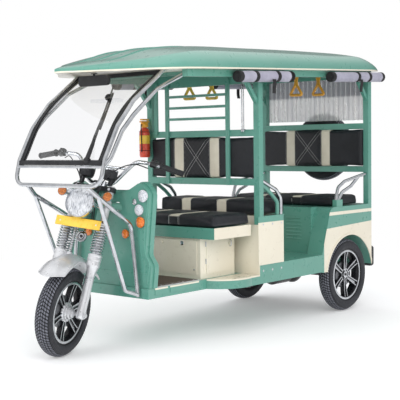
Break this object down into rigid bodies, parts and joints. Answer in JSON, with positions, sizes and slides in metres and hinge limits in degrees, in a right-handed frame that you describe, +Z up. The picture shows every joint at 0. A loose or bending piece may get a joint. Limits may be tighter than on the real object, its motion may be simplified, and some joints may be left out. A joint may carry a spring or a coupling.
{
  "type": "electric auto rickshaw",
  "caption": "Electric three-wheel passenger rickshaw with a fork-steered front wheel, curved windscreen, canopy roof and facing padded benches.",
  "frame": {"origin": "on the floor, at the centre of the vehicle's length and width", "axes": "+X forward, +Y to the vehicle's left, +Z up"},
  "size_m": [2.7829, 1.0564, 1.7422],
  "materials": {
    "alloy": "cast, partly black",
    "amber": "amber lens",
    "black_leather": "soft, with cream stripes",
    "black_paint": "satin",
    "black_plastic": "satin",
    "chrome": "polished",
    "clear_panel": "ribbed",
    "cream_paint": "gloss",
    "glass": "clear",
    "lamp": "clear lens",
    "red": "gloss",
    "roll_fabric": "coated cloth",
    "steel": "satin",
    "teal_paint": "gloss",
    "two_tone_paint": "gloss teal and cream",
    "tyre_rubber": "matt",
    "wood_mat": "printed mat",
    "yellow": "satin",
    "yellow_strap": "webbing"
  },
  "bodies": {
    "chassis": {"battery_block": "black_plastic", "body_frame": "teal_paint", "chassis_frame": "black_paint", "cowl_lamps": "lamp", "crash_guard": "chrome", "curtain_rolls": "roll_fabric", "drive_motor": "black_paint", "driver_box": "cream_paint", "driver_cushion": "black_leather", "driver_floor": "teal_paint", "driver_seat_rim": "two_tone_paint", "fire_extinguisher": "red", "floor_mat": "wood_mat", "front_cowl": "teal_paint", "grab_rails": "chrome", "hand_straps": "yellow_strap", "inside_mirror": "black_plastic", "leaf_springs": "black_paint", "middle_bench_base": "two_tone_paint", "middle_cushion": "black_leather", "partition_bars": "teal_paint", "partition_pad": "black_leather", "passenger_floor": "teal_paint", "rear_axle": "black_paint", "rear_backrest": "black_leather", "rear_bench_base": "teal_paint", "rear_bumper": "black_plastic", "rear_cushion": "black_leather", "rear_fenders": "two_tone_paint", "rear_window": "clear_panel", "roof": "teal_paint", "side_panels": "two_tone_paint", "spare_rim": "alloy", "spare_tyre": "tyre_rubber", "step_plates": "two_tone_paint", "tail_lamps": "amber", "windscreen_gasket": "black_plastic", "windscreen_glass": "glass", "windscreen_tubes": "chrome", "wiper": "black_plastic"},
    "steering": {"fork_legs": "steel", "fork_springs": "chrome", "fork_yokes": "black_paint", "front_mudguard": "chrome", "front_turn_signals": "amber", "handlebar": "chrome", "handlebar_controls": "black_plastic", "headlamp": "chrome", "horn": "chrome", "instrument_pods": "black_plastic", "number_plate": "yellow"},
    "front_wheel": {"front_rim": "alloy", "front_tyre": "tyre_rubber"},
    "rear_left_wheel": {"rear_left_rim": "alloy", "rear_left_tyre": "tyre_rubber"},
    "rear_right_wheel": {"rear_right_rim": "alloy", "rear_right_tyre": "tyre_rubber"},
    "front_box_door": {"box_front_door": "cream_paint"},
    "side_box_door": {"box_side_door": "cream_paint"}
  },
  "joints": [
    {"name": "steering_head", "type": "hinge", "parent": "chassis", "child": "steering", "pos_m": [1.13058, 0, 0.22518], "axis": [-0.3453, 0, 0.9385], "range_deg": [-60, 20]},
    {"name": "front_wheel_spin", "type": "hinge", "parent": "steering", "child": "front_wheel", "pos_m": [1.16718, 0.01419, 0.23865], "axis": [-0.321, 0.9397, -0.1181], "continuous": true},
    {"name": "rear_left_wheel_spin", "type": "hinge", "parent": "chassis", "child": "rear_left_wheel", "pos_m": [-0.937, 0.413, 0.24], "axis": [0, 1, 0], "continuous": true},
    {"name": "rear_right_wheel_spin", "type": "hinge", "parent": "chassis", "child": "rear_right_wheel", "pos_m": [-0.937, -0.413, 0.24], "axis": [0, 1, 0], "continuous": true},
    {"name": "front_box_door_hinge", "type": "hinge", "parent": "chassis", "child": "front_box_door", "pos_m": [0.3863, 0, 0.3713], "axis": [0, 1, 0], "range_deg": [0, 85]},
    {"name": "side_box_door_hinge", "type": "hinge", "parent": "chassis", "child": "side_box_door", "pos_m": [0.331, 0.3033, 0.46], "axis": [0, 0, -1], "range_deg": [0, 105]}
  ]
}
